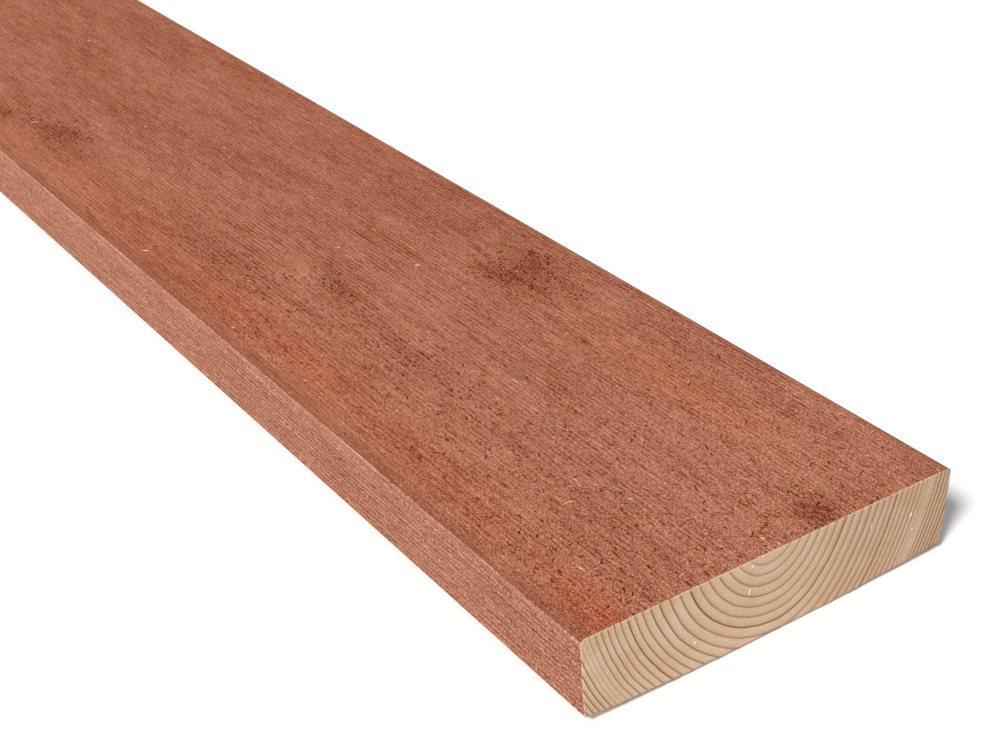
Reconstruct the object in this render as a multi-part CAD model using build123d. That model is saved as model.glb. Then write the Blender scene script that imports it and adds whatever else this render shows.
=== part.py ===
"""Exterior cladding board: one length of softwood, fine-sawn on its face and edges.

The board lies on its back with its face up. X runs along the board, Y across its face and Z up
through its thickness. The origin is under the middle of the board, on the plane it rests on.
"""

import os

from build123d import *

# Driving dimensions, in millimetres
board_length = 2400.0
face_width = 145.0
edge_thickness = 28.0
back_crown = 3.5
back_flat_width = 24.0
drip_lean = 2.2
face_arris_radius = 2.0
back_arris_radius = 1.2

# Levels above the floor: the crowned back touches it along a flat band in the middle, and the
# two long edges start higher up, where the crown has fallen away.
face_level = back_crown + edge_thickness
arris_level = face_level - face_arris_radius

# The upper long edge is square to the face. The lower one leans in from face to back, so that
# water drips off at the face and doesn't run in behind the board.
upper_edge = face_width / 2
lower_edge = -face_width / 2
lower_edge_at_back = lower_edge + drip_lean
flat_half = back_flat_width / 2


def board_section():
    """The section that the planer leaves: flat face, two long edges, crowned back, eased arrises."""
    with BuildSketch(Plane.YZ) as section:
        with BuildLine():
            Line((lower_edge_at_back, back_crown), (lower_edge, arris_level))
            TangentArc(
                (lower_edge, arris_level),
                (lower_edge + face_arris_radius, face_level),
                tangent=(0, 1),
            )
            Line(
                (lower_edge + face_arris_radius, face_level),
                (upper_edge - face_arris_radius, face_level),
            )
            TangentArc(
                (upper_edge - face_arris_radius, face_level),
                (upper_edge, arris_level),
                tangent=(1, 0),
            )
            Line((upper_edge, arris_level), (upper_edge, back_crown))
            TangentArc((flat_half, 0), (upper_edge, back_crown), tangent=(1, 0))
            Line((flat_half, 0), (-flat_half, 0))
            TangentArc((-flat_half, 0), (lower_edge_at_back, back_crown), tangent=(-1, 0))
        make_face()
        # The two corners at the ends of the crown are the only sharp ones left.
        back_corners = section.vertices().filter_by(lambda v: abs(v.Y - back_crown) < 1e-6)
        fillet(back_corners, back_arris_radius)
    return section.sketch


def cladding_board():
    """The section run out to the board's length, cut square at both ends."""
    return extrude(board_section(), amount=board_length / 2, both=True)


board = cladding_board()
board.label = "cladding_board"
os.makedirs("parts", exist_ok=True)
export_step(board, "parts/cladding_board.step")
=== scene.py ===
"""Looks of a cladding board: one length of fine-sawn spruce, stained red, lying on its back."""

import math

import bpy
import numpy as np
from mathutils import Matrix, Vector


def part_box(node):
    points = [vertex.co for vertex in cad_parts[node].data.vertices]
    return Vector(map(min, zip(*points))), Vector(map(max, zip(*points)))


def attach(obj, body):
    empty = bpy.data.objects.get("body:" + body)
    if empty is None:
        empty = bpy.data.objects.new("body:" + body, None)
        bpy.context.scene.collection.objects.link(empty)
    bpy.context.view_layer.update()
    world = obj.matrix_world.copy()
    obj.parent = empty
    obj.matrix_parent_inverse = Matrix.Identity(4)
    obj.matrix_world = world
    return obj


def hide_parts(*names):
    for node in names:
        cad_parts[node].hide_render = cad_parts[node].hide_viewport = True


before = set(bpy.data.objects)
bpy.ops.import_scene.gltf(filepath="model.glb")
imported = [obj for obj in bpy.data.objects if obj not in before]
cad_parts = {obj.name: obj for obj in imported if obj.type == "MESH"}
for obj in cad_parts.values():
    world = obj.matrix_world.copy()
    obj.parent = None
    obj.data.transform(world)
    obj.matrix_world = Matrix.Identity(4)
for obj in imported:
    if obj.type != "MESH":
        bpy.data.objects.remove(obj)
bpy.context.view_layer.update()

# The board is one length of spruce, sawn so that the pith lies just above its face. A fine saw has
# left shallow grooves along the face and both long edges, the back is planed to a low crown, and
# both ends are crosscut. All lengths in this section are in millimetres until the mesh is made.
MM = 0.001
end_x, half_width, face_z = np.array(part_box("cladding_board")[1]) / MM
edge_thickness = 28.0
crown = face_z - edge_thickness
drip_lean = 2.2
flat_half = 12.0
face_arris = 2.0
back_arris = 1.2
end_chamfer = 0.25

face_groove_pitch = 1.85
edge_groove_pitch = 1.9
groove_depth = 0.18
points_per_groove = 4
draw = np.random.default_rng(28)


def run_between(start, stop, pitch, per_pitch=1):
    """Evenly spaced points of a straight run of whole pitches, without its last point."""
    start, stop = np.array(start), np.array(stop)
    pitches = max(1, round(float(np.linalg.norm(stop - start)) / pitch))
    share = np.arange(pitches * per_pitch)[:, None] / (pitches * per_pitch)
    return start + (stop - start) * share


def eased_corner(corner, arriving, leaving, radius, steps=6):
    """Points of a rounded corner between two runs, given the unit directions of both runs."""
    corner, arriving, leaving = (np.array(v, float) for v in (corner, arriving, leaving))
    out_before = np.array([arriving[1], -arriving[0]])
    turn = math.acos(float(np.clip(arriving @ leaving, -1, 1)))
    first = corner - arriving * radius * math.tan(turn / 2)
    centre = first - out_before * radius
    angles = math.atan2(out_before[1], out_before[0]) + np.linspace(0, turn, steps + 1)
    return centre + radius * np.stack([np.cos(angles), np.sin(angles)], 1)


def crown_height(y):
    """Height of the back above the floor: level in the middle, then an arc up to each long edge."""
    reach = np.where(y > 0, half_width, half_width - drip_lean) - flat_half
    radius = (reach**2 + crown**2) / (2 * crown)
    past_flat = np.maximum(np.abs(y) - flat_half, 0)
    return radius - np.sqrt(radius**2 - past_flat**2)


# The section is walked once round, from the middle of the back up the square edge, over the face
# and down the drip edge, with the wood on the left hand. The upper part of each eased arris counts
# as face, because it took the same stain, and the paler long edge starts where the rounding steepens.
upper_back = np.array([half_width, crown])
lower_back = np.array([-half_width + drip_lean, crown])
lower_face = np.array([-half_width, face_z - face_arris])
drip_way = (lower_back - lower_face) / np.linalg.norm(lower_back - lower_face)
crown_slope = 2 * crown / (half_width - flat_half)
crown_up = np.array([1, crown_slope]) / math.hypot(1, crown_slope)
crown_down = crown_up * [1, -1]

corners = {
    "upper back": eased_corner(upper_back, crown_up, (0, 1), back_arris),
    "upper face": eased_corner((half_width, face_z), (0, 1), (-1, 0), face_arris),
    "lower face": eased_corner((-half_width, face_z), (-1, 0), (0, -1), face_arris),
    "lower back": eased_corner(lower_back, drip_way, crown_down, back_arris),
}
arris_on_edge = 3
back_step = 2.0
section = []
marks = []


def add_to_section(points, side, sawn):
    """Adds points of one side, with the saw's share in their relief and their place in a groove."""
    for number, point in enumerate(points):
        section.append(point)
        marks.append((side, sawn, number % points_per_groove, number // points_per_groove))


BACK, EDGE, FACE = 0, 1, 2
half_back = run_between((0, 0), (corners["upper back"][0][0], 0), back_step)
half_back[:, 1] = crown_height(half_back[:, 0])
add_to_section(half_back, BACK, 0)
add_to_section(corners["upper back"], EDGE, 0)
upper_edge = run_between(
    corners["upper back"][-1], corners["upper face"][0], edge_groove_pitch, points_per_groove
)
add_to_section(upper_edge[1:], EDGE, 1)
add_to_section(corners["upper face"][:arris_on_edge], EDGE, 0)
add_to_section(corners["upper face"][arris_on_edge:], FACE, 0)
face_run = run_between(
    corners["upper face"][-1], corners["lower face"][0], face_groove_pitch, points_per_groove
)
add_to_section(face_run[1:], FACE, 1)
add_to_section(corners["lower face"][:-arris_on_edge], FACE, 0)
add_to_section(corners["lower face"][-arris_on_edge:], EDGE, 0)
lower_edge = run_between(
    corners["lower face"][-1], corners["lower back"][0], edge_groove_pitch, points_per_groove
)
add_to_section(lower_edge[1:], EDGE, 1)
add_to_section(corners["lower back"], EDGE, 0)
other_back = run_between((corners["lower back"][-1][0], 0), (0, 0), back_step)
other_back[:, 1] = crown_height(other_back[:, 0])
add_to_section(other_back[1:], BACK, 0)

section = np.array(section)
side, sawn, step_in_groove, groove_number = (np.array(column) for column in zip(*marks))
along_loop = np.roll(section, -1, 0) - np.roll(section, 1, 0)
outward = np.stack([along_loop[:, 1], -along_loop[:, 0]], 1)
outward /= np.linalg.norm(outward, axis=1)[:, None]

# Stations along the board lie close together at the end that faces the viewer and spread out
# towards the other one, because the relief only shows near by.
first_step = 1.4
step_growth = 0.0185
stations = [end_x, end_x - end_chamfer]
while stations[-1] > -end_x + end_chamfer:
    stations.append(stations[-1] - first_step - step_growth * (end_x - stations[-1]))
stations[-1] = -end_x + end_chamfer
stations.append(-end_x)
stations = np.array(stations)
wave_stretch = (0.75, 1.3)


def waver(rows, places, lengths, strength):
    """Smooth wander along the board, different in each row: a sum of a few waves of given lengths."""
    total = np.zeros((len(places), rows))
    for length in lengths:
        phase = draw.uniform(0, 2 * math.pi, rows)
        stretch = draw.uniform(*wave_stretch, rows)
        total += np.sin(places[:, None] * 2 * math.pi / (length * stretch) + phase)
    return total * strength / math.sqrt(len(lengths))


# Where the grain turns round a knot the stain dries dark. Places on the face are measured from the
# near end and from the drip edge: along, across, half length, half width, strength.
knots = {
    "at the end": (6, 94, 9, 8, 1.0),
    "large": (187, 122, 15, 10, 0.9),
    "large one's far rim": (195, 129, 9, 3, 1.2),
    "large one's near rim": (183, 113, 16, 3, 1.2),
    "beside the large one": (188, 107, 13, 4, 0.9),
    "before the large one": (166, 123, 10, 4, 0.9),
    "small": (210, 51, 9, 5, 0.45),
    "far one's tip": (438, 25, 6, 2.6, 1.2),
    "far": (430, 29.5, 6, 2.8, 1.3),
    "far one's side": (421, 33, 7, 3, 1.2),
    "far one's tail": (411, 36.5, 8, 3, 0.8),
    "under the far one": (415, 28, 20, 8, 0.5),
    "beyond the far one": (465, 18, 9, 4, 0.9),
    "pin": (497, 127, 14, 6, 0.4),
    "second pin": (560, 130, 16, 6, 0.6),
}
# The saw tears the grain near the knots and at the ends, and leaves short dark rents there.
rough_patches = {
    "near end": (0, 45, 110, 70, 0.5),
    "end knot": (8, 94, 11, 9, 1.0),
    "drip edge side": (60, 30, 130, 30, 0.5),
    "beside the drip edge": (185, 13, 70, 11, 0.85),
    "large knot": (188, 121, 22, 18, 0.9),
    "middle": (157, 46, 24, 9, 0.8),
    "small knot": (213, 52, 17, 7, 0.9),
    "under the small knot": (204, 33, 18, 7, 0.7),
    "long band": (262, 30, 50, 10, 0.7),
    "far knot": (425, 29, 24, 12, 0.9),
    "beyond it": (455, 24, 22, 10, 0.8),
}
# Stain runs thin and bright where resin has kept it out, mostly in a strip beside the drip edge.
bright_strips = {
    "corner": (8, 12, 24, 8, 1.0),
    "first": (70, 15, 32, 7, 0.45),
    "second": (115, 13, 30, 7, 0.5),
    "third": (176, 14, 34, 8, 1.0),
    "fourth": (225, 13, 28, 7, 0.95),
    "drip side": (220, 10, 420, 30, 0.32),
    "fifth": (325, 16, 30, 8, 0.6),
    "sixth": (372, 16, 35, 8, 0.6),
    "seventh": (440, 10, 35, 8, 0.5),
    "far side": (85, 110, 50, 10, 0.45),
}
# It lies thicker in broad soft patches, and thinner towards the near end, beside knots and where
# resin has seeped out.
thick_patches = {
    "corner": (6, 10, 30, 10, 0.9),
    "near drip edge": (60, 8, 140, 12, 0.4),
    "past half a metre": (500, 75, 170, 90, 0.25),
    "behind the strips": (262, 14, 60, 14, 0.9),
    "behind the corner": (20, 38, 32, 12, 0.5),
    "behind the end": (45, 78, 24, 16, 0.45),
    "middle": (105, 55, 28, 12, 0.35),
    "torn band": (275, 28, 60, 16, 0.5),
    "knot side": (250, 126, 60, 14, 0.4),
    "far side": (520, 122, 130, 14, 0.5),
    "further along": (620, 75, 330, 150, 0.2),
}
thin_patches = {
    "near end": (0, 85, 200, 90, 0.45),
    "beside the rough band": (175, 57, 28, 12, 0.6),
    "round the large knot": (185, 118, 42, 16, 0.7),
    "before the large knot": (110, 95, 40, 14, 0.3),
    "small knot's edge": (235, 48, 22, 7, 0.7),
    "strip": (330, 50, 70, 6, 0.4),
    "resin": (176, 13, 32, 8, 1.2),
    "more resin": (225, 13, 28, 7, 0.7),
}


def patch_strength(along, across, patches):
    """How strongly any of the patches colours a place, from 0 to the strongest patch's strength."""
    total = np.zeros(np.broadcast(along, across).shape)
    for place_along, place_across, half_length, half_span, strength in patches.values():
        reach = ((along - place_along) / half_length) ** 2 + ((across - place_across) / half_span) ** 2
        total = np.maximum(total, strength * np.exp(-reach))
    return total


# Beyond what the viewer sees close by, the same kinds of patch follow each other to the far end.
seen_length = 640
further_knots = 10
knot_half = np.array((15, 9))
rough_half = np.array((24, 14))
strip_half_length = 40
strip_half_width = 8
band_half = np.array((90, 20))
strip_shift = 60
band_shift = 80
for number in range(further_knots):
    name = f"further on {number}"
    along = seen_length + (2 * end_x - seen_length) * (number + draw.uniform(0.1, 0.9)) / further_knots
    across = draw.uniform(15, 130)
    size = draw.uniform(0.6, 1.2)
    knots[name] = (along, across, *(knot_half * size), draw.uniform(0.5, 1.0))
    rough_patches[name] = (along, across, *(rough_half * size), 0.8)
    strip_along = along + draw.uniform(-strip_shift, strip_shift)
    strip_across = draw.uniform(8, 20)
    bright_strips[name] = (
        strip_along, strip_across, strip_half_length * size, strip_half_width, draw.uniform(0.3, 0.9)
    )
    band_along = along + draw.uniform(-band_shift, band_shift)
    thick_patches[name] = (band_along, draw.uniform(10, 135), *(band_half * size), 0.5)

from_end = end_x - stations[:, None]
from_drip_edge = section[:, 0] + half_width
on_face = (side == FACE).astype(float)
below_arris = np.maximum(face_z - face_arris - section[:, 1], 0)
knot = patch_strength(from_end, from_drip_edge, knots) * on_face

# Each groove has its own depth, which wavers along the board where the blade caught the grain.
# Neighbours fade together near the end, towards the drip edge, in worn patches, over the hard knots
# and just below the arrises.
groove_waves = (18, 45, 120)
groove_waver = 0.24
edge_waver_share = 0.35
grooves = groove_number.max() + 1
groove_share = (0.5 - 0.5 * np.cos(2 * math.pi * step_in_groove / points_per_groove)) * sawn
groove_strength = draw.uniform(0.85, 1.1, (3, grooves))[side, groove_number]
wander = waver(3 * grooves, stations, groove_waves, groove_waver)[:, side * grooves + groove_number]
wander = wander * np.where(side == EDGE, edge_waver_share, 1)
bite_at_end = 0.5
bite_gained = 0.45
bite_reach = 220.0
drip_side_share = 0.4
shallow_side = 75.0
edge_bite = 0.7
bite = bite_at_end + bite_gained * np.clip(from_end / bite_reach, 0, 1)
bite = bite * (drip_side_share + (1 - drip_side_share) * np.clip(from_drip_edge / shallow_side, 0, 1))
bite = np.where(side == EDGE, edge_bite, bite)
worn_waves = 24
worn_share = 0.15
worn_length = 110
worn_width = 30
worn_limits = (0.25, 1.7)
worn = np.zeros(wander.shape)
for turns_along, turns_across in draw.normal(0, (1 / worn_length, 1 / worn_width), (worn_waves, 2)):
    phase = draw.uniform(0, 2 * math.pi)
    worn += np.sin(2 * math.pi * (from_end * turns_along + from_drip_edge * turns_across) + phase)
worn = worn_share * math.sqrt(2 / worn_waves) * worn * on_face
bite = bite * np.clip(1 + worn, *worn_limits)
knot_fade = 0.7
bite = bite * (1 - knot_fade * np.clip(knot, 0, 1))
arris_fade = 6.0
least_at_arris = 0.5
bite = bite * np.where(side == EDGE, np.clip(below_arris / arris_fade, least_at_arris, 1), 1)
depth_limits = (0.1, 1.5)
groove = groove_share * np.clip(groove_strength * (1 + wander), *depth_limits) * bite

# The back keeps shallow lengthwise waves from the planer, which only take wood away, and the planer
# dipped a little as each end of the board left its rollers. The saw left the back's end rims ragged.
planer_wave = 0.2
wave_level = 0.3
snipe_depth = 1.0
snipe_reach = 12.0
snipe_width = 66.0
ragged = 0.4
ragged_reach = 1.5
back_wave = waver(len(section), np.zeros(1), (1,), 1)[0]
back_wave = np.convolve(np.tile(back_wave, 3), np.ones(3) / 3, "same")[len(section):2 * len(section)]
from_cut = end_x - np.abs(stations[:, None])
snipe = snipe_depth * np.exp(-((from_cut / snipe_reach) ** 2))
snipe = snipe * np.clip(1 - (section[:, 0] / snipe_width) ** 2, 0, 1)
broken = ragged * draw.uniform(0, 1, len(section)) * np.exp(-((from_cut / ragged_reach) ** 2))
back_relief = planer_wave * np.clip(back_wave + wave_level, 0, 2) + snipe + broken
back_relief = np.where(side == BACK, back_relief, 0)

depth = groove * groove_depth + back_relief
at_end = (np.abs(stations) > end_x - end_chamfer / 2)[:, None]
chamfer_slope = 0.7
depth = depth + np.where(at_end, end_chamfer * chamfer_slope, 0)
sheet_y = section[:, 0] - outward[:, 0] * depth
sheet_z = section[:, 1] - outward[:, 1] * depth
sheet_x = np.broadcast_to(stations[:, None], sheet_y.shape)
vertices = np.stack([sheet_x, sheet_y, sheet_z], -1).reshape(-1, 3) * MM

around = len(section)
rings = len(stations)
corner_index = np.arange(around)
next_index = np.roll(corner_index, -1)
ring_start = (np.arange(rings - 1) * around)[:, None]
quads = np.stack(
    [ring_start + corner_index, ring_start + around + corner_index,
     ring_start + around + next_index, ring_start + next_index], -1
).reshape(-1, 4)
near_cap = corner_index.tolist()
far_cap = (corner_index[::-1] + (rings - 1) * around).tolist()

board_mesh = bpy.data.meshes.new("cladding_board")
board_mesh.from_pydata(vertices.tolist(), [], quads.tolist() + [near_cap, far_cap])
END_GRAIN, PLANED_BACK, STAINED = 0, 1, 2
finish_round = np.where((side == BACK) & (np.roll(side, -1) == BACK), PLANED_BACK, STAINED)
finish = np.tile(finish_round, (rings - 1, 1))
finish[[0, -1]] = END_GRAIN
finish = np.concatenate([finish.ravel(), [END_GRAIN, END_GRAIN]])
smooth = np.concatenate([np.ones(len(quads), bool), [False, False]])
board_mesh.polygons.foreach_set("material_index", finish.astype(np.int32))
board_mesh.polygons.foreach_set("use_smooth", smooth)

# The coat differs from place to place, and the mesh carries its shares to the material. Along each arris
# the face's coat is darkened: painted shade that tones down the lamp's highlight on the rounding.
# A thin line of painted shade lies just below the arris on each long edge. The face is grittier near the
# end and at the knots.
arris_shade_reach = 4.5
arris_shade_share = 0.55
arris_shade_rim = 0.4
rim_sharpness = 4
arris = np.clip(1 - (half_width - np.abs(section[:, 0])) / arris_shade_reach, 0, 1)
arris = arris_shade_share * arris + arris_shade_rim * arris**rim_sharpness
# Painted shade: a thin darker line just below the arris on each long edge, which narrows the lit band on
# the rounding.
shade_line_depth = 2.1
shade_line_reach = 0.5
shade_line_below_arris = np.exp(-(((face_z - section[:, 1] - shade_line_depth) / shade_line_reach) ** 2)) * (side == EDGE)
thickness = patch_strength(from_end, from_drip_edge, thick_patches)
thickness = thickness - patch_strength(from_end, from_drip_edge, thin_patches)
plain_grit = 0.8
end_grit = 0.4
grit_reach = 150.0
knot_grit = 0.6
grit = plain_grit + end_grit * np.exp(-((from_end / grit_reach) ** 2)) + knot_grit * knot
painted = {
    "groove": groove,
    "grit": grit,
    "knot": knot,
    "torn": patch_strength(from_end, from_drip_edge, rough_patches) * on_face,
    "bright": patch_strength(from_end, from_drip_edge, bright_strips) * on_face,
    "thickness": thickness * on_face,
    "edge": np.broadcast_to((side != FACE).astype(float), groove.shape),
    "arris": np.broadcast_to(arris, groove.shape),
    "shade_line_below_arris": np.broadcast_to(shade_line_below_arris, groove.shape),
}
for name, values in painted.items():
    layer = board_mesh.attributes.new(name, "FLOAT", "POINT")
    layer.data.foreach_set("value", values.astype(np.float32).ravel())


def linear(hex_colour):
    """Linear RGBA of an sRGB hex colour."""
    shares = [int(hex_colour[i:i + 2], 16) / 255 for i in (1, 3, 5)]
    return [s / 12.92 if s <= 0.04045 else ((s + 0.055) / 1.055) ** 2.4 for s in shares] + [1.0]


def add_node(tree, kind, settings, feeds, stops=()):
    """Adds one node, sets its options and feeds its sockets with values or with other nodes' outputs."""
    made = tree.nodes.new(kind)
    for option, value in settings.items():
        setattr(made, option, value)
    for socket, value in feeds.items():
        if isinstance(value, bpy.types.Node):
            value = next(output for output in value.outputs if output.enabled)
        if isinstance(value, bpy.types.NodeSocket):
            tree.links.new(value, made.inputs[socket])
        else:
            made.inputs[socket].default_value = value
    for number, (place, colour) in enumerate(stops):
        ramp = made.color_ramp.elements
        stop = ramp[number] if number < 2 else ramp.new(place)
        stop.position = place
        stop.color = linear(colour)
    return made


def new_material(name):
    """An empty material, its tree and its place in millimetres on the object."""
    material = bpy.data.materials.new(name)
    material.use_nodes = True
    tree = material.node_tree
    tree.nodes.clear()
    place = add_node(tree, "ShaderNodeTexCoord", {}, {}).outputs["Object"]
    in_mm = add_node(tree, "ShaderNodeVectorMath", {"operation": "SCALE"}, {0: place, "Scale": 1 / MM})
    return material, tree, in_mm


def grain_noise(tree, in_mm, size, detail, roughness, turn=0.0):
    """Noise drawn out to a grain size in millimetres: along, across and through, turned on the face."""
    laid = add_node(
        tree, "ShaderNodeMapping", {"vector_type": "TEXTURE"},
        {"Vector": in_mm, "Rotation": (0, 0, math.radians(turn)), "Scale": size},
    )
    return add_node(
        tree, "ShaderNodeTexNoise", {},
        {"Vector": laid, "Scale": 1, "Detail": detail, "Roughness": roughness},
    )


# Growth rings are rounds about the pith, pushed over a little as they go down through the board and
# straightened where they turn from the face to the back. They are wide near the pith, close up
# towards the bark and leave one band of lean, faint years.
pith_y = -1.8
pith_above_face = 6.0
pith_lean = 0.54
pith_level = 4.0
drip_side_push = 0.68
square_side_push = 1.25
push_easing = 9.0
first_ring = 6.64
ring_width = 3.56
closing_from = 38.5
closing_rate = 0.004
lean_from = 65.0
lean_to = 71.0
lean_rings = 0.75
ring_waver = 1.0
innermost = 0.01


def growth_rings(tree, in_mm):
    """Ring number, whole at the outer edge of latewood, and how lean the years are, up to a quarter."""
    place = add_node(tree, "ShaderNodeSeparateXYZ", {}, {0: in_mm})
    below = add_node(tree, "ShaderNodeMath", {"operation": "SUBTRACT"}, {0: face_z, 1: place.outputs["Z"]})
    middle = add_node(
        tree, "ShaderNodeMath", {"operation": "MULTIPLY_ADD"},
        {0: below, 1: pith_lean, 2: pith_y - pith_level * pith_lean},
    )
    sideways = add_node(
        tree, "ShaderNodeMath", {"operation": "SUBTRACT"}, {0: place.outputs["Y"], 1: middle}
    )
    drop = add_node(tree, "ShaderNodeMath", {"operation": "ADD"}, {0: below, 1: pith_above_face})
    width_squared = add_node(tree, "ShaderNodeMath", {"operation": "MULTIPLY"}, {0: sideways, 1: sideways})
    squared = add_node(
        tree, "ShaderNodeMath", {"operation": "MULTIPLY_ADD"}, {0: drop, 1: drop, 2: width_squared}
    )
    drip_push, square_push = (
        add_node(tree, "ShaderNodeMath", {"operation": "MULTIPLY"}, {0: sideways, 1: side_push})
        for side_push in (drip_side_push, square_side_push)
    )
    push = add_node(
        tree, "ShaderNodeMath", {"operation": "SMOOTH_MAX"}, {0: drip_push, 1: square_push, 2: push_easing}
    )
    squared = add_node(
        tree, "ShaderNodeMath", {"operation": "MULTIPLY_ADD"}, {0: push, 1: below, 2: squared}
    )
    radius = add_node(tree, "ShaderNodeMath", {"operation": "SQRT"}, {0: squared})
    wobble = grain_noise(tree, in_mm, (400, 14, 14), 2, 0.5)
    around_none = add_node(tree, "ShaderNodeMath", {"operation": "SUBTRACT"}, {0: wobble, 1: 0.5})
    wavy = add_node(
        tree, "ShaderNodeMath", {"operation": "MULTIPLY_ADD"}, {0: around_none, 1: ring_waver, 2: radius}
    )
    even = add_node(
        tree, "ShaderNodeMath", {"operation": "MULTIPLY_ADD"},
        {0: wavy, 1: 1 / ring_width, 2: -first_ring / ring_width},
    )
    outer = add_node(tree, "ShaderNodeMath", {"operation": "SUBTRACT"}, {0: wavy, 1: closing_from})
    outer = add_node(tree, "ShaderNodeMath", {"operation": "MAXIMUM"}, {0: outer, 1: 0})
    outer = add_node(tree, "ShaderNodeMath", {"operation": "POWER"}, {0: outer, 1: 2})
    number = add_node(
        tree, "ShaderNodeMath", {"operation": "MULTIPLY_ADD"}, {0: outer, 1: closing_rate, 2: even}
    )
    lean = add_node(
        tree, "ShaderNodeMapRange", {"interpolation_type": "SMOOTHSTEP"},
        {"Value": wavy, "From Min": lean_from, "From Max": lean_to},
    )
    number = add_node(
        tree, "ShaderNodeMath", {"operation": "MULTIPLY_ADD"}, {0: lean, 1: lean_rings, 2: number}
    )
    number = add_node(tree, "ShaderNodeMath", {"operation": "MAXIMUM"}, {0: number, 1: innermost})
    rise = add_node(tree, "ShaderNodeMath", {"operation": "SUBTRACT"}, {0: 1.0, 1: lean})
    faint = add_node(tree, "ShaderNodeMath", {"operation": "MULTIPLY"}, {0: lean, 1: rise})
    return number, faint


# Crosscut spruce: a saw blade has left the end pale, dry and matt, with a faint fuzz of cut fibres.
# Each ring darkens slowly to its latewood and stops sharply. Some years left a darker line than
# others, and the lines are broader and softer on the square edge's side.
end_grain, tree, in_mm = new_material("crosscut_spruce")
number, faint = growth_rings(tree, in_mm)
ring_part = add_node(tree, "ShaderNodeMath", {"operation": "FRACT"}, {0: number})
thin_lines = add_node(
    tree, "ShaderNodeValToRGB", {}, {0: ring_part},
    [(0.0, "#000000"), (1.0, "#000000"), (0.4, "#3C3C3C"), (0.74, "#808080"),
     (0.88, "#F8F8F8"), (0.97, "#FFFFFF")],
)
broad_lines = add_node(
    tree, "ShaderNodeValToRGB", {}, {0: ring_part},
    [(0.0, "#000000"), (1.0, "#000000"), (0.3, "#606060"), (0.6, "#B8B8B8"),
     (0.84, "#FFFFFF"), (0.95, "#F0F0F0")],
)
place = add_node(tree, "ShaderNodeSeparateXYZ", {}, {0: in_mm})
square_side = add_node(
    tree, "ShaderNodeMapRange", {"interpolation_type": "SMOOTHSTEP"},
    {"Value": place.outputs["Y"], "From Min": 8, "From Max": 38},
)
lines = add_node(
    tree, "ShaderNodeMix", {"data_type": "RGBA"},
    {0: square_side, 6: thin_lines.outputs[0], 7: broad_lines.outputs[0]},
)
year = add_node(tree, "ShaderNodeMath", {"operation": "FLOOR"}, {0: number})
dark_year_period = 7
dark_year = 6
dark_year_sharpness = 14
dark_year_gain = 0.3
plain_year = 0.64
year = add_node(
    tree, "ShaderNodeMath", {"operation": "MULTIPLY_ADD"},
    {0: year, 1: 2 * math.pi / dark_year_period, 2: -dark_year * 2 * math.pi / dark_year_period},
)
year = add_node(tree, "ShaderNodeMath", {"operation": "COSINE"}, {0: year})
year = add_node(tree, "ShaderNodeMath", {"operation": "POWER"}, {0: year, 1: dark_year_sharpness})
year = add_node(
    tree, "ShaderNodeMath", {"operation": "MULTIPLY_ADD"}, {0: year, 1: dark_year_gain, 2: plain_year}
)
sapwood = add_node(
    tree, "ShaderNodeMapRange", {},
    {"Value": number, "From Min": 20, "From Max": 23, "To Min": 1.0, "To Max": 1.4},
)
year = add_node(tree, "ShaderNodeMath", {"operation": "MULTIPLY"}, {0: year, 1: sapwood})
young = add_node(
    tree, "ShaderNodeMapRange", {},
    {"Value": number, "From Min": 0, "From Max": 4, "To Min": 0.8, "To Max": 1.0},
)
strength = add_node(tree, "ShaderNodeMath", {"operation": "MULTIPLY"}, {0: year, 1: young})
drip_side = add_node(
    tree, "ShaderNodeMapRange", {},
    {"Value": place.outputs["Y"], "From Min": -45, "From Max": -20, "To Min": 1.3, "To Max": 1.0},
)
strength = add_node(tree, "ShaderNodeMath", {"operation": "MULTIPLY"}, {0: strength, 1: drip_side})
lean_fade = 3.0
full = add_node(tree, "ShaderNodeMath", {"operation": "MULTIPLY_ADD"}, {0: faint, 1: -lean_fade, 2: 1.0})
strength = add_node(tree, "ShaderNodeMath", {"operation": "MULTIPLY"}, {0: strength, 1: full})
latewood = add_node(tree, "ShaderNodeMath", {"operation": "MULTIPLY"}, {0: lines.outputs[2], 1: strength})
cloud = grain_noise(tree, in_mm, (400, 16, 9), 3, 0.55)
earlywood_tones = add_node(
    tree, "ShaderNodeValToRGB", {}, {0: cloud}, [(0.3, "#DCB793"), (0.7, "#E6C8AB")]
)
rings_colour = add_node(
    tree, "ShaderNodeMix", {"data_type": "RGBA"},
    {0: latewood, 6: earlywood_tones.outputs[0], 7: linear("#8E5526")},
)
fuzz = grain_noise(tree, in_mm, (0.6, 0.6, 0.6), 1, 0.6)
fuzz_tone = add_node(
    tree, "ShaderNodeMapRange", {},
    {"Value": fuzz, "From Min": 0.3, "From Max": 0.7, "To Min": 0.84, "To Max": 1.12},
)
heart_to_bark = add_node(
    tree, "ShaderNodeMapRange", {},
    {"Value": place.outputs["Y"], "From Min": -40, "From Max": 50, "To Min": 0.98, "To Max": 0.92},
)
fuzz_tone = add_node(tree, "ShaderNodeMath", {"operation": "MULTIPLY"}, {0: fuzz_tone, 1: heart_to_bark})
fuzzy = add_node(
    tree, "ShaderNodeMix", {"data_type": "RGBA", "blend_type": "MULTIPLY"},
    {0: 1.0, 6: rings_colour.outputs[2], 7: fuzz_tone},
)
end_bump = add_node(tree, "ShaderNodeBump", {}, {"Strength": 0.5, "Distance": 0.1 * MM, "Height": fuzz})
surface = add_node(
    tree, "ShaderNodeBsdfPrincipled", {},
    {"Base Color": fuzzy.outputs[2], "Roughness": 0.85, "IOR": 1.5, "Specular IOR Level": 0.3,
     "Normal": end_bump},
)
add_node(tree, "ShaderNodeOutputMaterial", {}, {0: surface})

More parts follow.
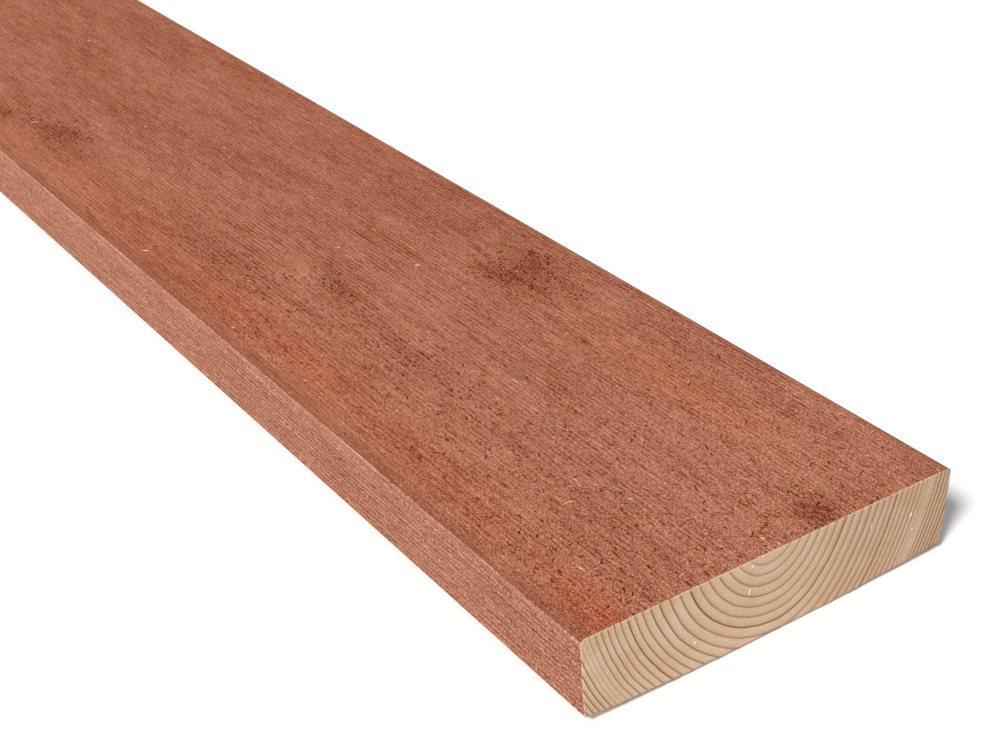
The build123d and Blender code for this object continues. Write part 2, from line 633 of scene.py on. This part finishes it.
# Planed spruce: the back is bare and a little silky, with the rings drawn out into long stripes.
# Stain has run a few millimetres round both arrises and stops there in a ragged line.
planed_back, tree, in_mm = new_material("planed_spruce")
number = growth_rings(tree, in_mm)[0]
ring_part = add_node(tree, "ShaderNodeMath", {"operation": "FRACT"}, {0: number})
stripes = add_node(
    tree, "ShaderNodeValToRGB", {}, {0: ring_part},
    [(0.0, "#E6C69E"), (1.0, "#E6C69E"), (0.5, "#E1BE94"), (0.85, "#C7955F"), (0.96, "#BC8850")],
)
fibre = grain_noise(tree, in_mm, (25, 0.8, 0.8), 3, 0.6)
fibre_tone = add_node(
    tree, "ShaderNodeMapRange", {},
    {"Value": fibre, "From Min": 0.3, "From Max": 0.7, "To Min": 0.88, "To Max": 1.06},
)
grained = add_node(
    tree, "ShaderNodeMix", {"data_type": "RGBA", "blend_type": "MULTIPLY"},
    {0: 1.0, 6: stripes.outputs[0], 7: fibre_tone},
)
place = add_node(tree, "ShaderNodeSeparateXYZ", {}, {0: in_mm})
from_middle = add_node(tree, "ShaderNodeMath", {"operation": "ABSOLUTE"}, {0: place.outputs["Y"]})
rim_ragged = 14
rim_start = 73
rim_full = 74.5
run_round = add_node(
    tree, "ShaderNodeMath", {"operation": "MULTIPLY_ADD"}, {0: fibre, 1: rim_ragged, 2: from_middle}
)
stained_rim = add_node(
    tree, "ShaderNodeMapRange", {}, {"Value": run_round, "From Min": rim_start, "From Max": rim_full}
)
back_colour = add_node(
    tree, "ShaderNodeMix", {"data_type": "RGBA"},
    {0: stained_rim, 6: grained.outputs[2], 7: linear("#A66650")},
)
back_bump = add_node(tree, "ShaderNodeBump", {}, {"Strength": 0.4, "Distance": 0.1 * MM, "Height": fibre})
surface = add_node(
    tree, "ShaderNodeBsdfPrincipled", {},
    {"Base Color": back_colour.outputs[2], "Roughness": 0.6, "IOR": 1.5, "Normal": back_bump},
)
add_node(tree, "ShaderNodeOutputMaterial", {}, {0: surface})

# Iron-oxide stain on fine-sawn spruce: a matt, thin red-brown coat that lets the grain show. It is paler
# on the ridges and darker in the grooves and in torn grain, partly from stain pooled there and partly as
# painted shade of the grooves and pits, and brighter where resin kept it out.
stained, tree, in_mm = new_material("red_stain_on_fine_sawn_spruce")
masks = {
    name: add_node(tree, "ShaderNodeAttribute", {"attribute_name": name}, {}).outputs["Fac"]
    for name in painted
}
cloud = grain_noise(tree, in_mm, (70, 14, 14), 2, 0.5)
mottle = grain_noise(tree, in_mm, (18, 4, 4), 1, 0.5)
fibres = grain_noise(tree, in_mm, (16, 0.55, 0.55), 2, 0.6)
streaks = grain_noise(tree, in_mm, (4, 0.45, 0.45), 1, 0.5)
speckle = grain_noise(tree, in_mm, (0.75, 0.38, 0.38), 0, 0.5)
edge_grit = grain_noise(tree, in_mm, (0.7, 0.45, 0.45), 0, 0.5)
around_middle = add_node(tree, "ShaderNodeMath", {"operation": "SUBTRACT"}, {0: speckle, 1: 0.5})
face_grit = add_node(
    tree, "ShaderNodeMath", {"operation": "MULTIPLY"}, {0: around_middle, 1: masks["grit"]}
)
face_shares = [(cloud, 0.24), (mottle, 0.2), (fibres, 0.8), (streaks, 0.5)]
edge_shares = [(cloud, 0.1), (mottle, 0.1), (fibres, 0.8), (streaks, 0.4), (edge_grit, 1.2)]
# The groove share darkens the coat on the face and on the long edges, partly as stain pooled in the
# grooves and partly as painted shade of the grooves.
face_masks = [
    (masks["groove"], -0.25), (masks["knot"], -0.13), (masks["thickness"], -0.1), (face_grit, 1.1),
]
# The line below the arris darkens the long edges as painted shade.
edge_masks = [(masks["groove"], -0.41), (masks["shade_line_below_arris"], -0.1)]
tones = []
for shares, shading, level in ((face_shares, face_masks, 0.515), (edge_shares, edge_masks, 0.545)):
    tone = level - sum(share for source, share in shares) / 2
    for source, share in shares + shading:
        tone = add_node(
            tree, "ShaderNodeMath", {"operation": "MULTIPLY_ADD"}, {0: source, 1: share, 2: tone}
        )
    tones.append(tone)
face_tone, edge_tone = tones
coat = add_node(
    tree, "ShaderNodeValToRGB", {}, {0: face_tone},
    [(0.0, "#682006"), (1.0, "#E2A68D"), (0.25, "#8E492B"), (0.5, "#AD6F53"), (0.75, "#C88B70")],
)
bright_coat = add_node(
    tree, "ShaderNodeValToRGB", {}, {0: face_tone},
    [(0.0, "#6A220A"), (1.0, "#EAA282"), (0.25, "#964528"), (0.5, "#B66345"), (0.75, "#D28260")],
)
edge_coat = add_node(
    tree, "ShaderNodeValToRGB", {}, {0: edge_tone},
    [(0.0, "#652E1A"), (1.0, "#DDAA91"), (0.25, "#8A523B"), (0.5, "#A87058"), (0.75, "#C38C73")],
)
knot_soak = 0.4
soaked = add_node(tree, "ShaderNodeMath", {"operation": "MULTIPLY"}, {0: masks["knot"], 1: knot_soak})
crisp_edge = add_node(
    tree, "ShaderNodeMapRange", {}, {"Value": masks["edge"], "From Min": 0.7, "From Max": 1.0}
)
# Mixes in turn: brighter stain in the resin strips, darker stain in the knots, painted shade along each
# arris, then the long edges' own coat.
coats = [
    (masks["bright"], bright_coat.outputs[0]), (soaked, linear("#803A18")),
    (masks["arris"], linear("#6E3622")), (crisp_edge, edge_coat.outputs[0]),
]
tinted = coat.outputs[0]
for share, colour in coats:
    tinted = add_node(
        tree, "ShaderNodeMix", {"data_type": "RGBA"}, {0: share, 6: tinted, 7: colour}
    ).outputs[2]
# Torn grain: short rents lie along the grain and slanting to both sides of it, coloured dark by stain
# pooled in the torn pits and by painted shade of the pits. They are sparse where the cut is clean and
# crowd together in the rough patches.
rents = 0.0
rent_from = 0.725
rent_full = 0.755
rent_kinds = [
    ("torn", 0.1, 0, (2.6, 0.46, 0.46)), ("torn", 0.085, 38, (1.5, 0.45, 0.45)),
    ("torn", 0.085, -44, (1.6, 0.45, 0.45)), ("knot", 0.11, 10, (1.1, 0.6, 0.6)),
]
for patch, pull, turn, size in rent_kinds:
    scatter = grain_noise(tree, in_mm, size, 1, 0.5, turn)
    crowd = add_node(
        tree, "ShaderNodeMath", {"operation": "MULTIPLY_ADD"}, {0: masks[patch], 1: pull, 2: scatter}
    )
    rent = add_node(
        tree, "ShaderNodeMapRange", {}, {"Value": crowd, "From Min": rent_from, "From Max": rent_full}
    )
    rents = add_node(tree, "ShaderNodeMath", {"operation": "MAXIMUM"}, {0: rent, 1: rents})
clean = add_node(tree, "ShaderNodeMath", {"operation": "SUBTRACT"}, {0: 1.0, 1: masks["edge"]})
rents = add_node(tree, "ShaderNodeMath", {"operation": "MULTIPLY"}, {0: rents, 1: clean})
# The rents' dark colour is part stain and part painted shade of the pits.
torn_coat = add_node(
    tree, "ShaderNodeMix", {"data_type": "RGBA"}, {0: rents, 6: tinted, 7: linear("#5C1A05")}
)
# Bare flecks show where a stained fibre has come away.
fleck = grain_noise(tree, in_mm, (1.8, 0.5, 0.5), 1, 0.5, 15)
flecks = add_node(
    tree, "ShaderNodeMapRange", {}, {"Value": fleck, "From Min": 0.72, "From Max": 0.8, "To Max": 0.6}
)
flecked = add_node(
    tree, "ShaderNodeMix", {"data_type": "RGBA"},
    {0: flecks, 6: torn_coat.outputs[2], 7: linear("#E6BBA6")},
)
rent_drop = 0.4
height = add_node(
    tree, "ShaderNodeMath", {"operation": "MULTIPLY_ADD"}, {0: rents, 1: -rent_drop, 2: fibres}
)
height = add_node(tree, "ShaderNodeMath", {"operation": "ADD"}, {0: height, 1: streaks})
coat_bump = add_node(
    tree, "ShaderNodeBump", {}, {"Strength": 0.4, "Distance": 0.2 * MM, "Height": height}
)
surface = add_node(
    tree, "ShaderNodeBsdfPrincipled", {},
    {"Base Color": flecked.outputs[2], "Roughness": 0.8, "IOR": 1.5, "Specular IOR Level": 0.25,
     "Normal": coat_bump},
)
add_node(tree, "ShaderNodeOutputMaterial", {}, {0: surface})

for material in (end_grain, planed_back, stained):
    board_mesh.materials.append(material)
board = bpy.data.objects.new("fine_sawn_board", board_mesh)
bpy.context.scene.collection.objects.link(board)
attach(board, "root")
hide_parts("cladding_board")

# Fibres that the saw tore out of the face stand up from it as short curled slivers. Most took the stain
# and read as dark strokes with a shadow of their own; they also stand in for the pits the fibres left, so
# part of their darkness is painted shade. A few broke off later and are bare.
BODY = (-0.55, 0.0, 0.55)
sunk_share = 0.4
curl_middle = 0.4


def slivers(at, along, across, up, lengths, widths, heights, curls):
    """One closed mesh of bent spindles: places, three unit directions and sizes for each of them."""
    spread = [
        at + along * (t * lengths / 2)[:, None]
        + across * (curls * lengths * (t * t - curl_middle))[:, None]
        for t in (-1.0,) + BODY + (1.0,)
    ]
    sunk = up * (sunk_share * heights)[:, None]
    points = [spread[0] - sunk]
    for t, middle in zip(BODY, spread[1:-1]):
        half = across * (widths / 2 * math.sqrt(1 - t * t))[:, None]
        crest = up * (heights * (1 - t * t))[:, None]
        points += [middle - half - sunk, middle + half - sunk, middle + crest]
    points.append(spread[-1] - sunk)
    faces = [(0, 1, 3), (0, 3, 2), (0, 2, 1)]
    for first in (1, 4):
        right, left, top = first, first + 1, first + 2
        for low, high in ((right, top), (top, left), (left, right)):
            faces.append((low, low + 3, high + 3, high))
    faces += [(10, 9, 7), (10, 8, 9), (10, 7, 8)]
    places = np.stack(points, 1).reshape(-1, 3) * MM
    starts = range(0, len(places), len(points))
    return places, [tuple(start + index for index in face) for start in starts for face in faces]


end_margin = 1.0
side_margin = 6.0


def strewn(count, reach, patches, evenly):
    """Random places on the face, from the near end and from the drip edge, crowded in the patches."""
    places = np.empty((0, 2))
    while len(places) < count:
        tries = draw.uniform((end_margin, side_margin), (reach, 2 * half_width - side_margin), (count, 2))
        chance = evenly + patch_strength(tries[:, 0], tries[:, 1], patches)
        places = np.concatenate([places, tries[draw.uniform(0, 1, count) < chance]])
    return places[:count]


def on_the_face(places, headings):
    """Places in the board's own frame and the three directions of slivers that lie on its face."""
    at = np.stack([end_x - places[:, 0], places[:, 1] - half_width, np.full(len(places), face_z)], 1)
    along = np.stack([np.cos(headings), np.sin(headings), np.zeros(len(places))], 1)
    across = np.stack([-np.sin(headings), np.cos(headings), np.zeros(len(places))], 1)
    return at, along, across, np.tile((0.0, 0.0, 1.0), (len(places), 1))


near_places = strewn(count=620, reach=330, patches=rough_patches, evenly=0.08)
rest_places = strewn(count=480, reach=2 * end_x - 5, patches=rough_patches, evenly=0.05)
knot_places = strewn(count=360, reach=520, patches=knots, evenly=0)
tight_patches = {
    name: rough_patches[name]
    for name in ("middle", "small knot", "under the small knot", "long band", "far knot", "beyond it")
}
tight_places = strewn(count=300, reach=520, patches=tight_patches, evenly=0)
dark_places = np.concatenate([near_places, rest_places, knot_places, tight_places])
count = len(dark_places)
short = np.arange(count) >= len(near_places) + len(rest_places)
main_leanings = (0.0, 38.0, -42.0, 75.0)
leaning_chances = (0.5, 0.22, 0.22, 0.06)
leaning_spread = 14
shorter = 0.65
broader = 1.35
leanings = np.radians(draw.choice(main_leanings, count, p=leaning_chances))
leanings += draw.normal(0, math.radians(leaning_spread), count)
dark_points, dark_faces = slivers(
    *on_the_face(dark_places, leanings),
    lengths=draw.uniform(0.9, 3.4, count) * np.where(short, shorter, 1),
    widths=draw.uniform(0.4, 0.62, count) * np.where(short, broader, 1),
    heights=draw.uniform(0.06, 0.13, count),
    curls=draw.normal(0, 0.2, count),
)

# Bare slivers that catch the eye: along, across, heading in degrees, length and width.
bare_slivers = {
    "long white": (53.3, 36.9, 79, 4.2, 0.55),
    "beside it": (62, 46, -3, 2.6, 0.4),
    "fallen": (59.6, 17.2, -42, 5.0, 0.35),
    "by the corner": (25, 19.6, 9, 2.8, 0.45),
    "short": (44, 53, 22, 2.4, 0.4),
    "crosswise": (6.7, 41.4, 103, 2.6, 0.45),
    "in the middle": (121, 66.1, 5, 5.0, 0.45),
    "first at the end": (6.2, 71.3, -3, 2.0, 0.5),
    "second at the end": (1.6, 73.4, 2, 1.6, 0.5),
    "drip edge": (287, 8, 40, 4.0, 0.5),
    "bright dot": (252, 91.1, 9, 2.2, 0.8),
    "beyond it": (214.5, 87.4, 62, 3.0, 0.4),
    "far dot": (540, 92.9, 5, 2.6, 0.8),
    "far knot": (444, 25.1, 71, 4.5, 0.8),
}
bare = np.array(list(bare_slivers.values()))
scattered = strewn(count=45, reach=420, patches=rough_patches, evenly=0.2)
count = len(bare) + len(scattered)
bare_places = np.concatenate([bare[:, :2], scattered])
headings = np.radians(np.concatenate([bare[:, 2], draw.normal(0, 30, len(scattered))]))
lengths = np.concatenate([bare[:, 3], draw.uniform(0.7, 1.8, len(scattered))])
slimmer = 0.8
widths = np.concatenate([bare[:, 4] * slimmer, draw.uniform(0.18, 0.3, len(scattered))])
bare_points, bare_faces = slivers(
    *on_the_face(bare_places, headings), lengths, widths,
    heights=draw.uniform(0.12, 0.25, count),
    curls=draw.normal(0, 0.1, count),
)

# On the crosscut end a few whole splinters were pushed over by the blade, and its upper arris
# keeps a broken fringe: across, depth below the face, heading in degrees, length and width.
end_splinters = {
    "large": (61.7, 11.2, 78, 3.2, 1.2),
    "under the face": (62, 2, 60, 1.8, 0.5),
    "square side": (110.8, 8.2, 85, 2.6, 0.4),
    "near the corner": (128.4, 11.3, 72, 2.2, 0.4),
    "below it": (130.1, 17.1, 60, 1.2, 0.4),
    "drip side": (41.5, 20.1, 30, 1.2, 0.4),
}
splinter = np.array(list(end_splinters.values()))
fringe_count = 130
fringe_margin = 3
fringe_across = draw.uniform(fringe_margin, 2 * half_width - fringe_margin, fringe_count)
fringe_depth = draw.uniform(0.05, 0.3, fringe_count)
across_end = np.concatenate([splinter[:, 0], fringe_across]) - half_width
below_face = np.concatenate([splinter[:, 1], fringe_depth])
count = len(across_end)
end_at = np.stack([np.full(count, end_x), across_end, face_z - below_face], 1)
headings = np.radians(np.concatenate([splinter[:, 2], draw.normal(0, 16, fringe_count)]))
end_along = np.stack([np.zeros(count), np.cos(headings), np.sin(headings)], 1)
end_across = np.stack([np.zeros(count), -np.sin(headings), np.cos(headings)], 1)
lengths = np.concatenate([splinter[:, 3], draw.uniform(0.7, 2.2, fringe_count)])
widths = np.concatenate([splinter[:, 4], draw.uniform(0.18, 0.36, fringe_count)])
heights = [draw.uniform(0.25, 0.5, len(splinter)), draw.uniform(0.05, 0.15, fringe_count)]
end_points, end_faces = slivers(
    end_at, end_along, end_across, np.tile((1.0, 0.0, 0.0), (count, 1)), lengths, widths,
    heights=np.concatenate(heights),
    curls=draw.normal(0, 0.1, count),
)

all_points = np.concatenate([dark_points, bare_points, end_points])
all_faces = list(dark_faces)
start = len(dark_points)
for points, faces in ((bare_points, bare_faces), (end_points, end_faces)):
    all_faces += [tuple(index + start for index in face) for face in faces]
    start += len(points)
fibre_mesh = bpy.data.meshes.new("torn_fibres")
fibre_mesh.from_pydata(all_points.tolist(), [], all_faces)
fibre_finish = np.ones(len(all_faces), np.int32)
fibre_finish[:len(dark_faces)] = 0
fibre_mesh.polygons.foreach_set("material_index", fibre_finish)

# Stain soaks into a torn fibre from all sides, so it dries darker than the face, and matt. The colour is
# also partly painted shade, because these slivers stand in for the shaded pits where fibres tore out.
# A bare fibre is the pale straw colour of fresh spruce, with a little sheen.
for name, colour, roughness in (
    ("stained_fibre_darkened_as_pit_shade", "#5E1502", 0.9),
    ("bare_broken_spruce_fibre", "#E0C2A8", 0.6),
):
    material, tree = new_material(name)[:2]
    surface = add_node(
        tree, "ShaderNodeBsdfPrincipled", {},
        {"Base Color": linear(colour), "Roughness": roughness, "IOR": 1.5, "Specular IOR Level": 0.15},
    )
    add_node(tree, "ShaderNodeOutputMaterial", {}, {0: surface})
    fibre_mesh.materials.append(material)
fibre_object = bpy.data.objects.new("torn_fibres", fibre_mesh)
bpy.context.scene.collection.objects.link(fibre_object)
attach(fibre_object, "root")

# The board lies on a plain white floor that runs on past the picture. Seen directly it is lifted to
# white, and it keeps the board's shadow.
floor_reach = 30.0
floor_mesh = bpy.data.meshes.new("floor")
floor_corners = [
    (x * floor_reach, y * floor_reach, 0) for x, y in ((-1, -1), (1, -1), (1, 1), (-1, 1))
]
floor_mesh.from_pydata(floor_corners, [], [(0, 1, 2, 3)])


def seen_directly(tree):
    """1 for rays that show the surface to the eye, straight, mirrored or through glass, and else 0."""
    rays = add_node(tree, "ShaderNodeLightPath", {}, {})
    seen = rays.outputs["Is Camera Ray"]
    for kind in ("Is Glossy Ray", "Is Transmission Ray"):
        seen = add_node(
            tree, "ShaderNodeMath", {"operation": "MAXIMUM"}, {0: seen, 1: rays.outputs[kind]}
        )
    return seen


floor_paint = bpy.data.materials.new("white_studio_floor")
floor_paint.use_nodes = True
tree = floor_paint.node_tree
tree.nodes.clear()
floor_lift = 0.12
lift = add_node(
    tree, "ShaderNodeMath", {"operation": "MULTIPLY"}, {0: seen_directly(tree), 1: floor_lift}
)
matt = add_node(tree, "ShaderNodeBsdfDiffuse", {}, {"Color": linear("#F5F5F5")})
glow = add_node(tree, "ShaderNodeEmission", {}, {"Color": linear("#FFFFFF"), "Strength": lift})
both = add_node(tree, "ShaderNodeAddShader", {}, {0: matt, 1: glow})
add_node(tree, "ShaderNodeOutputMaterial", {}, {0: both})
floor_mesh.materials.append(floor_paint)
floor = bpy.data.objects.new("floor", floor_mesh)
bpy.context.scene.collection.objects.link(floor)

# Studio light: one main lamp from the drip edge's side, half way up, a weak broad one overhead and a
# little behind the near end, and an even white room. For each lamp: strength, angular size, tilt, turn.
lamps = {
    "main_lamp": (1.15, 12, 46.5, 24),
    "overhead_lamp": (0.08, 25, 11.5, -60),
}
for name, (strength, size, tilt, turn) in lamps.items():
    lamp = bpy.data.lights.new(name, "SUN")
    lamp.energy = strength * math.pi
    lamp.angle = math.radians(size)
    lamp_object = bpy.data.objects.new(name, lamp)
    lamp_object.rotation_euler = (math.radians(tilt), 0, math.radians(turn))
    bpy.context.scene.collection.objects.link(lamp_object)
room = bpy.data.worlds.new("white_room")
bpy.context.scene.world = room
room.use_nodes = True
tree = room.node_tree
tree.nodes.clear()
room_light = 0.13
strength = add_node(
    tree, "ShaderNodeMapRange", {}, {"Value": seen_directly(tree), "To Min": room_light, "To Max": 1.0}
)
white = add_node(tree, "ShaderNodeBackground", {}, {"Color": linear("#FFFFFF"), "Strength": strength})
add_node(tree, "ShaderNodeOutputWorld", {}, {0: white})

# The camera stands off the near end, on the drip edge's side, and looks down along the board.
camera_data = bpy.data.cameras.new("camera")
camera_data.sensor_fit = "HORIZONTAL"
camera_data.sensor_width = 36.0
camera_data.lens = 58.9
looks_down = 29.904
looks_round = 54.57
camera = bpy.data.objects.new("camera", camera_data)
camera.location = (1.46428, -0.28673, 0.30788)
camera.rotation_euler = (math.radians(90 - looks_down), 0, math.radians(looks_round))
bpy.context.scene.collection.objects.link(camera)
bpy.context.scene.camera = camera
bpy.context.scene.view_settings.view_transform = "Standard"
